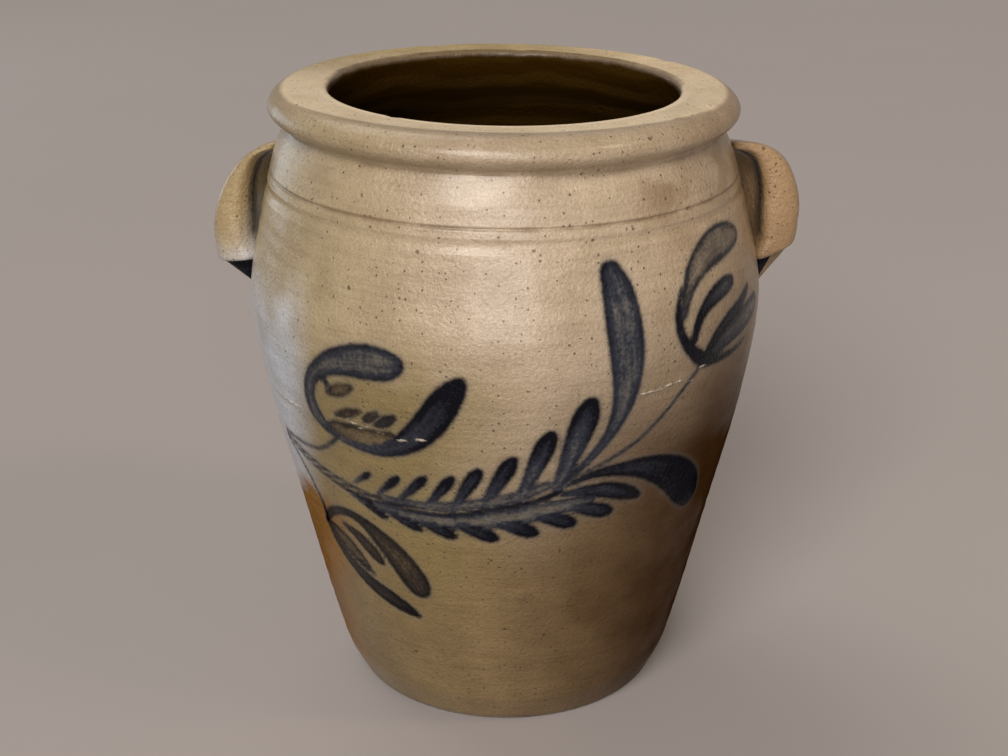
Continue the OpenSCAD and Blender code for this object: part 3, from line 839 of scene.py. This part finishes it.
def glaze_material(name, colours, high, low, whole_pot):
    """Salt-glazed clay with brushwork, and on the pot also the kiln scars with painted glints and the slip
    inside the lip.
    """
    material, tree = blank(name)
    place = object_place(tree)
    tone, rough, dry, relief = clay_nodes(tree, colours, high, low, place)
    tone, painted = cobalt_nodes(tree, colours, tone, place)
    dull = greatest(tree, dry, times(tree, painted, PAINT_DULL))
    rough = calc(tree, "SUBTRACT", rough, times(tree, painted, PAINT_GLOSS))
    if whole_pot:
        tone, rough, dull, relief = pot_nodes(tree, colours, place, tone, rough, dull, relief)
    finish_shader(tree, {
        "Base Color": tone, "Roughness": rough, "Coat Roughness": COAT_ROUGH,
        "Specular IOR Level": spread(tree, dull, *GLAZE_SPECULAR),
        "Coat Weight": spread(tree, dull, *GLAZE_COAT),
        "Normal": add(tree, "ShaderNodeBump", {"Height": relief, **PEEL}).outputs["Normal"]})
    return material


def slip_material(name, colours):
    """Brown slip glaze with a soft gloss."""
    material, tree = blank(name)
    place = object_place(tree)
    bump = {"Height": noise_of(tree, place, 160, 3), "Strength": 0.25, "Distance": 0.6 * MM}
    finish_shader(tree, {
        "Base Color": slip_tone(tree, colours, place), "Specular IOR Level": 0.12,
        "Roughness": spread(tree, noise_of(tree, place, 120, 3), 0.3, 0.7, 0.3, 0.45, "LINEAR"),
        "Normal": add(tree, "ShaderNodeBump", bump).outputs["Normal"]})
    return material


def floor_material(name, tint):
    """Plain matt floor."""
    material, tree = blank(name)
    faint = spread(tree, noise_of(tree, object_place(tree), 3, 2), 0.3, 0.7, 0.0, 0.02, "LINEAR")
    finish_shader(tree, {
        "Base Color": blend(tree, faint, tint, (0, 0, 0)), "Roughness": 0.95, "Specular IOR Level": 0.05})
    return material


# Flat of the rim, pale with wear and painted highlight: the seam where it ends at the front, and how far the
# seam goes out to the sides
FLAT_SEAM = 92.8 * MM
FLAT_FLARE = 6 * MM
FLAT_TURN = 62
FLAT_SOFT = (-1.0 * MM, 1.5 * MM)
FLAT_DEPTH = 2 * MM
TOP_BAND = 0.175 * MM
# Brown line along the front of the seam: half-width, and the degrees between which it fades
SEAM_HALF = 1.6 * MM
SEAM_FADE = (35, 75)
LINE_SPREAD = 0.8
CREASE_HALF = 2.2 * MM
WALL_LEVELS = 80


def body_sides(wall, places):
    """Which points lie on the outside or the rim, and which on the upright lip."""
    s = wall.s
    height, radius = places[:, 2], np.hypot(places[:, 0], places[:, 1])
    levels = np.linspace(s.foot_bevel, s.height, WALL_LEVELS)
    middle = np.interp(height, levels, [wall.outside(z) - s.wall_t / 2 for z in levels])
    outer = (radius > middle) | (height > s.height - s.lip_round)
    return outer, (height > wall.lip_foot_h) & (radius < s.mouth_r + s.lip_round)


def body_attributes(wall, places, outer, lip):
    """Numbers that the glaze reads at the body's points, by name."""
    s = wall.s
    height, radius = places[:, 2], np.hypot(places[:, 0], places[:, 1])
    drop = s.height - height
    turn = np.abs(np.degrees(np.arctan2(places[:, 0], -places[:, 1])))
    paint = brush_fields(wall, places / MM, cobalt_strokes())
    paint[0][~outer] = -EDGE_LIMIT
    seam = np.minimum(FLAT_SEAM + FLAT_FLARE * (turn / FLAT_TURN) ** 2, s.rim_top_r)
    flat = 1 - smooth(seam + FLAT_SOFT[0], seam + FLAT_SOFT[1], radius)
    line = 1 - np.abs(drop - s.line_drop) / (LINE_SPREAD * s.line_w)
    crease = 1 - np.abs(drop - s.hollow_drop) / CREASE_HALF
    edge = (1 - np.abs(radius - seam - MM) / SEAM_HALF) * (1 - smooth(*SEAM_FADE, turn)) * (drop < MM)
    # Pale kiln scars and painted glints
    scars_and_painted_glints = [(1.0, 1.0, 0.0, points) for points in KILN_SCARS_AND_PAINTED_GLINTS]
    ledge = np.where(drop < TOP_BAND, (s.mouth_r + s.lip_round - radius) / MM, -EDGE_LIMIT)
    inside = (lip | ~outer) & (height > s.floor_t / 2)
    return {
        **dict(zip(BRUSH_FIELDS, paint)),
        "rim_flat": flat * smooth(-FLAT_DEPTH, 0, -drop) * (outer | lip),
        # Darker along the scored line, the crease under the rim and the front of the rim's seam
        "groove": np.clip(np.maximum(np.maximum(line, 0.7 * crease), 0.6 * edge), 0, 1) * outer,
        "scar_and_glint_edge": brush_fields(wall, places / MM, scars_and_painted_glints)[0],
        "slip_reach": np.where(inside, drop / MM, np.maximum(ledge, -EDGE_LIMIT)),
    }


class CROCK_OT_body(bpy.types.Operator):
    """Throw the body, with its rolled rim, scored lines and cobalt brushwork"""
    bl_idname = "crock.body"
    bl_label = "Body"

    def execute(self, context):
        sizes, colours = context.scene.crock_sizes, context.scene.crock_colours
        wall = Wall(sizes)
        material = glaze_material("salt_glaze", colours, colours.clay_high, colours.clay_low, True)
        bm = spun(body_profile(wall), sizes.segments)
        mesh = finish_piece(bm, "thrown_body", material, "crock_body").data
        places = np.empty(len(mesh.vertices) * 3)
        mesh.vertices.foreach_get("co", places)
        places = places.reshape(-1, 3)
        outer, lip = body_sides(wall, places)
        for name, values in body_attributes(wall, places, outer, lip).items():
            write_attribute(mesh, name, values)
        mesh.vertices.foreach_set("co", uneven(wall, places, outer & ~lip).ravel())
        mesh.update()
        return {"FINISHED"}


# Steps of the lining's section, the gap that keeps its back off the wall, and the steps in which it
# thins to nothing at the top
LINING_STEPS = 64
LINING_SEGMENTS = 192
LINING_BACK = 0.1 * MM
TAPER_STEPS = 7


class CROCK_OT_lining(bpy.types.Operator):
    """Pour the brown slip lining"""
    bl_idname = "crock.lining"
    bl_label = "Slip lining"

    def execute(self, context):
        sizes, colours = context.scene.crock_sizes, context.scene.crock_colours
        wall = Wall(sizes)
        top_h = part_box("slip_lining")[1][2]
        coat = wall.inside_points(top_h, sizes.lining_t, LINING_STEPS)
        back = wall.inside_points(top_h, LINING_BACK, LINING_STEPS)
        for i in range(TAPER_STEPS):
            t = i / TAPER_STEPS
            coat[i] = (back[i][0] + (coat[i][0] - back[i][0]) * t, coat[i][1])
        material = slip_material("brown_slip", colours)
        bm = spun(coat + back[::-1], LINING_SEGMENTS, True)
        mesh = finish_piece(bm, "slip_coat", material, "slip_lining").data
        for edge in mesh.edges:
            edge.use_edge_sharp = min(mesh.vertices[i].co.z for i in edge.vertices) > top_h - MERGE_DIST
        return {"FINISHED"}


def oval(share, power):
    """Height of a quarter oval over its base."""
    return max(0.0, 1 - share ** power) ** (1 / power)


def soft_min(a, b, turn):
    """The smaller of two values, with the corner between them rounded."""
    return (a + b) / 2 - math.hypot((a - b) / 2, turn)


def gap_shape(t, lean):
    """Rise and fall of the finger gap from its lower end to its upper end."""
    return t * (1 - t) ** lean


# Form of a strap, and the counts of its slices from the tail to the neck
SINK_POWER = 12
TAIL_TAPER = 0.33
LEDGE_STEP = 1.2 * MM
CORNER_ROUND = 1.5 * MM
LUMP_SIZE = 16 * MM
LUMP_SEED = 7
TAIL_SLICES = 8
LEDGE_SLICES = 6
SIDE_SLICES = 6
TOP_SLICES = 40
TOP_TURN = 87
# Outer corners of a slice, the share of each side that its round takes, and the steps of a round
OUTER_CORNERS = [(0.8, 0.93), (1, 0.58)]
CORNER_SHARE = 0.42
BEND_STEPS = 5
SECTION_CORNERS = 8
# Corners on the outside of a strap, which the paint on its tail may leave bare
BARE_CORNERS = (3, 4, 5)
TIP_FADE = 20 * MM
# Dark line along the crease of the finger gap, laid with the paint's fields: its depth at the top, what it
# loses with each step off the corner, and what it loses at the gap's lower end, over this share of the gap
CREASE_DEPTH = 0.9
CREASE_STEP = 0.5
CREASE_LOSS = 4
CREASE_START = 0.2


class Strap:
    """Level slices of a strap handle on the +X side, with the habits of one hand-pulled strap."""

    def __init__(self, wall, sizes, bend_power, bevel, ridge, slant, bare, brown):
        """Bend power shapes the arch, bevel and ridge the inner side, and slant tips the ledge up.

        Bare is how far the paint stays off the outside in millimetres, and brown is the crease's tint."""
        top = wall.s.height
        self.wall, self.sizes = wall, sizes
        self.bend_power, self.bevel, self.ridge, self.slant = bend_power, bevel, ridge, slant
        self.bare, self.brown = bare, brown
        self.top_h, self.out_h = top - sizes.top_drop, top - sizes.out_drop
        self.corner_h, self.ledge_h = top - sizes.corner_drop, top - sizes.ledge_drop
        self.tail_h, self.gap_end_h = top - sizes.tail_drop, top - sizes.gap_end_drop
        self.gap_h = sizes.gap_end_drop - sizes.gap_top_drop
        self.reach = wall.outside(self.out_h) + sizes.stand

    def share(self, z):
        """Fraction of the way from the outermost place to the top."""
        return (z - self.out_h) / (self.top_h - self.out_h)

    def outer(self, z):
        """Outer edge of a slice."""
        if z > self.out_h:
            neck = self.wall.outside(self.top_h)
            return neck + (self.reach - neck) * oval(self.share(z), self.bend_power)
        tail = self.wall.outside(self.tail_h)
        slant = tail + (self.reach - tail) * (z - self.tail_h) / (self.corner_h - self.tail_h)
        return soft_min(self.reach, slant, CORNER_ROUND)

    def inner(self, z):
        """Inner edge of a slice, off the wall along the finger gap and sunk in it elsewhere."""
        t = (z - self.gap_end_h) / self.gap_h
        base, lean = self.wall.outside(z), self.sizes.gap_lean
        if not 0 < t < 1:
            return base - self.sizes.sink
        opened = gap_shape(t, lean) / gap_shape(1 / (1 + lean), lean)
        return base + self.sizes.gap_w * opened - self.sizes.sink * abs(2 * t - 1) ** SINK_POWER

    def width(self, z):
        """Width of a slice."""
        full = self.sizes.width
        if z > self.out_h:
            return full + self.sizes.flare * self.share(z) ** 2
        tail = self.sizes.tail_w * (1 - TAIL_TAPER * (self.ledge_h - z) / (self.ledge_h - self.tail_h))
        return tail + (full - tail) * smooth(self.ledge_h - LEDGE_STEP, self.ledge_h + LEDGE_STEP, z)

    def heights(self):
        """Heights of the slices, from the tail to the neck."""
        low = list(np.linspace(self.tail_h, self.ledge_h - 1.2 * LEDGE_STEP, TAIL_SLICES))
        low += list(np.linspace(self.ledge_h - LEDGE_STEP, self.ledge_h + LEDGE_STEP, LEDGE_SLICES))
        low += list(np.linspace(self.ledge_h + 2 * LEDGE_STEP, self.out_h, SIDE_SLICES))
        turn = np.radians(np.linspace(0, TOP_TURN, TOP_SLICES)[1:])
        return low + list(self.out_h + (self.top_h - self.out_h) * np.sin(turn))

    def section(self):
        """Rounded outline of a slice: the share from the inner to the outer edge, and of the half-width."""
        corners = [(0, self.bevel), (self.ridge, 1), *OUTER_CORNERS]
        corners += [(u, -v) for u, v in reversed(corners)]
        points = []
        for i, here in enumerate(corners):
            here = Vector(here)
            start = here.lerp(Vector(corners[i - 1]), CORNER_SHARE)
            end = here.lerp(Vector(corners[(i + 1) % len(corners)]), CORNER_SHARE)
            for t in np.linspace(0, 1, BEND_STEPS):
                points.append(start * (1 - t) ** 2 + here * 2 * t * (1 - t) + end * t ** 2)
        return points

    def slice(self, z):
        """Points of one slice, with its ledge tipped up or down towards the outside."""
        inn, half = self.inner(z), self.width(z) / 2
        out = max(self.outer(z), inn + MM)
        tip = self.slant * (1 - smooth(self.ledge_h, self.out_h + TIP_FADE, z))
        roll = self.sizes.roll * smooth(self.out_h, self.top_h, z)
        foot = self.wall.outside(self.ledge_h)
        points = []
        for u, v in self.section():
            near_wall = inn - self.sizes.twist * half * max(0, v)
            x = near_wall + (out - near_wall) * u
            points.append(Vector((x, half * v, z + tip * max(0, x - foot) - roll * half * v)))
        return points

    def paint(self, place, index):
        """Depth inside the paint in millimetres and its brownness, on the tail and in the gap's crease."""
        corner, step = divmod(index % (SECTION_CORNERS * BEND_STEPS), BEND_STEPS)
        foot = self.wall.outside(self.ledge_h)
        tail = (self.ledge_h - place.z + self.slant * max(0, abs(place.x) - foot)) / MM
        if corner in BARE_CORNERS and self.bare:
            tail = min(tail, -self.bare)
        t = (place.z - self.gap_end_h) / self.gap_h
        crease = CREASE_DEPTH * t - CREASE_STEP * abs(step - BEND_STEPS // 2)
        crease -= CREASE_LOSS * (1 - smooth(0, CREASE_START, t))
        if corner != SECTION_CORNERS - 1 or crease < tail:
            return float(np.clip(tail, -EDGE_LIMIT, EDGE_LIMIT)), 0.0
        return float(crease), self.brown


def strap_mesh(strap, side, seed):
    """Strap drawn up from a ring at its tail, one slice at a time, and closed at both ends."""
    bm = bmesh.new()
    slices = [strap.slice(z) for z in strap.heights()]
    sides = len(slices[0])
    ring = bmesh.ops.create_circle(bm, cap_ends=True, radius=MM, segments=sides)["verts"]
    edges = list(bm.edges)
    for vert, point in zip(ring, slices[0]):
        vert.co = point
    for points in slices[1:]:
        grown = bmesh.ops.extrude_edge_only(bm, edges=edges)["geom"]
        fresh = [g for g in grown if isinstance(g, bmesh.types.BMVert)]
        edges = [g for g in grown if isinstance(g, bmesh.types.BMEdge)]
        edges = [edge for edge in edges if all(v in fresh for v in edge.verts)]
        for vert, point in zip(fresh, points):
            vert.co = point
    bmesh.ops.holes_fill(bm, edges=edges, sides=sides)
    # Without a seed, this noise would follow the clock
    noise.seed_set(LUMP_SEED)
    for vert in bm.verts:
        vert.co += noise.noise_vector(vert.co / LUMP_SIZE + Vector((seed, 0, 0))) * strap.sizes.lumps
    turned = Matrix.Rotation(strap.sizes.turn, 3, "Z")
    bmesh.ops.rotate(bm, verts=bm.verts, cent=(0, 0, 0), matrix=turned)
    bmesh.ops.scale(bm, verts=bm.verts, vec=(side, 1, 1))
    bmesh.ops.recalc_face_normals(bm, faces=bm.faces)
    return bm


# Side and seed of each strap, and its habits
HABITS = {
    "left": (-1, 3.0, dict(bend_power=1.75, bevel=0.45, ridge=0.3, slant=-0.12, bare=0, brown=0.9)),
    "right": (1, 11.0, dict(bend_power=2.6, bevel=0.66, ridge=0.16, slant=0.4, bare=1.2, brown=0.4)),
}
# Load of cobalt that is lost where it fired brown
BROWN_THINNER = 0.35


class CROCK_OT_handles(bpy.types.Operator):
    """Pull the two strap handles and lute them on"""
    bl_idname = "crock.handles"
    bl_label = "Handles"

    def execute(self, context):
        scene = context.scene
        wall, sizes, colours = Wall(scene.crock_sizes), scene.crock_straps, scene.crock_colours
        material = glaze_material("handle_glaze", colours, colours.strap, colours.strap, False)
        for name, (side, seed, habits) in HABITS.items():
            strap = Strap(wall, sizes, **habits)
            bm = strap_mesh(strap, side, seed)
            mesh = finish_piece(bm, name + "_strap", material, name + "_handle").data
            edge, brown = np.array([strap.paint(v.co, v.index) for v in mesh.vertices]).T
            along, across = np.array([(v.co.z / MM, v.co.y / MM) for v in mesh.vertices]).T
            fields = (edge, along, across, 1 - BROWN_THINNER * brown, brown)
            for field, values in zip(BRUSH_FIELDS, fields):
                write_attribute(mesh, field, values)
        return {"FINISHED"}


# Lamps: name, kind, place in metres, power, tint, and the size of an area or the angle of a sun
LAMPS = [
    ("front_key", "SUN", (-0.42, -1.6, 1.4), 2.4, (1.0, 0.95, 0.9), {"angle": math.radians(30)}),
    ("top_fill", "SUN", (-0.5, 0.6, 1.4), 0.8, (1.0, 0.95, 0.86), {"angle": math.radians(40)}),
    ("left_window", "AREA", (-1.5, 1.3, 0.25), 3.5, (0.75, 0.87, 1.0), {"size": 0.8}),
    ("front_sheen", "AREA", (-0.02, -2.3, 0.62), 20, (1.0, 0.93, 0.91), {"size": 1.1}),
    ("warm_right", "AREA", (1.3, -0.6, 1.7), 5, (1.0, 0.82, 0.55), {"size": 0.35}),
]
LAMP_TARGET = Vector((0, 0, 0.17))
SENSOR_WIDTH = 36


def lamp(name, kind, place, power, tint, settings):
    """Adds a lamp turned to the middle of the crock."""
    data = bpy.data.lights.new(name, kind)
    data.energy = power
    data.color = tint
    for key, value in settings.items():
        setattr(data, key, value)
    made = bpy.data.objects.new(name, data)
    made.location = place
    made.rotation_euler = (LAMP_TARGET - made.location).to_track_quat("-Z", "Y").to_euler()
    bpy.context.scene.collection.objects.link(made)


def studio_world(stage):
    """Even grey light, with the floor's colour behind it for the camera and for reflections."""
    world = bpy.data.worlds.new("studio")
    world.use_nodes = True
    tree = world.node_tree
    backing = tree.nodes["Background"]
    rays = add(tree, "ShaderNodeLightPath", {}).outputs
    backing.inputs["Color"].default_value = rgba(stage.backdrop)
    seen = greatest(tree, rays["Is Camera Ray"], rays["Is Glossy Ray"], rays["Is Transmission Ray"])
    strength = spread(tree, seen, 0.0, 1.0, stage.ambient, 1.0, "LINEAR")
    tree.links.new(strength, backing.inputs["Strength"])
    return world


class CROCK_OT_stage(bpy.types.Operator):
    """Set up the floor, the lights and the camera"""
    bl_idname = "crock.stage"
    bl_label = "Stage"

    def execute(self, context):
        scene, stage = context.scene, context.scene.crock_stage
        bm = bmesh.new()
        bmesh.ops.create_grid(bm, x_segments=1, y_segments=1, size=stage.floor_size / 2)
        mesh = bpy.data.meshes.new("floor")
        bm.to_mesh(mesh)
        bm.free()
        mesh.materials.append(floor_material("pale_floor", stage.floor))
        floor = bpy.data.objects.new("floor", mesh)
        scene.collection.objects.link(floor)

        scene.world = studio_world(stage)
        for row in LAMPS:
            lamp(*row)

        lens = bpy.data.cameras.new("camera")
        lens.lens = stage.lens
        lens.sensor_width = SENSOR_WIDTH
        lens.shift_x = stage.shift
        camera = bpy.data.objects.new("camera", lens)
        camera.location = (0, -stage.distance, stage.eye)
        camera.rotation_euler = (math.pi / 2 - stage.pitch, 0, 0)
        scene.collection.objects.link(camera)
        scene.camera = camera
        scene.view_settings.view_transform = "Standard"
        return {"FINISHED"}


class CROCK_PT_panel(bpy.types.Panel):
    """Lists the steps that make the crock"""
    bl_idname = "CROCK_PT_panel"
    bl_label = "Stoneware Crock"
    bl_space_type = "VIEW_3D"
    bl_region_type = "UI"
    bl_category = "Crock"

    def draw(self, context):
        for step in STEPS:
            self.layout.operator(step.bl_idname)


STEPS = (CROCK_OT_stage, CROCK_OT_body, CROCK_OT_lining, CROCK_OT_handles)
GROUPS = {
    "crock_sizes": CROCK_PG_sizes,
    "crock_straps": CROCK_PG_straps,
    "crock_colours": CROCK_PG_colours,
    "crock_stage": CROCK_PG_stage,
}


def register():
    """Registers the property groups, the operators and the panel."""
    for name, group in GROUPS.items():
        bpy.utils.register_class(group)
        setattr(bpy.types.Scene, name, PointerProperty(type=group))
    for kind in (*STEPS, CROCK_PT_panel):
        bpy.utils.register_class(kind)


def unregister():
    """Undoes register."""
    for kind in (CROCK_PT_panel, *reversed(STEPS)):
        bpy.utils.unregister_class(kind)
    for name, group in GROUPS.items():
        delattr(bpy.types.Scene, name)
        bpy.utils.unregister_class(group)


def main():
    """Makes the crock and its stage."""
    register()
    bpy.ops.crock.stage()
    bpy.ops.crock.body()
    bpy.ops.crock.lining()
    bpy.ops.crock.handles()


if __name__ == "__main__":
    main()
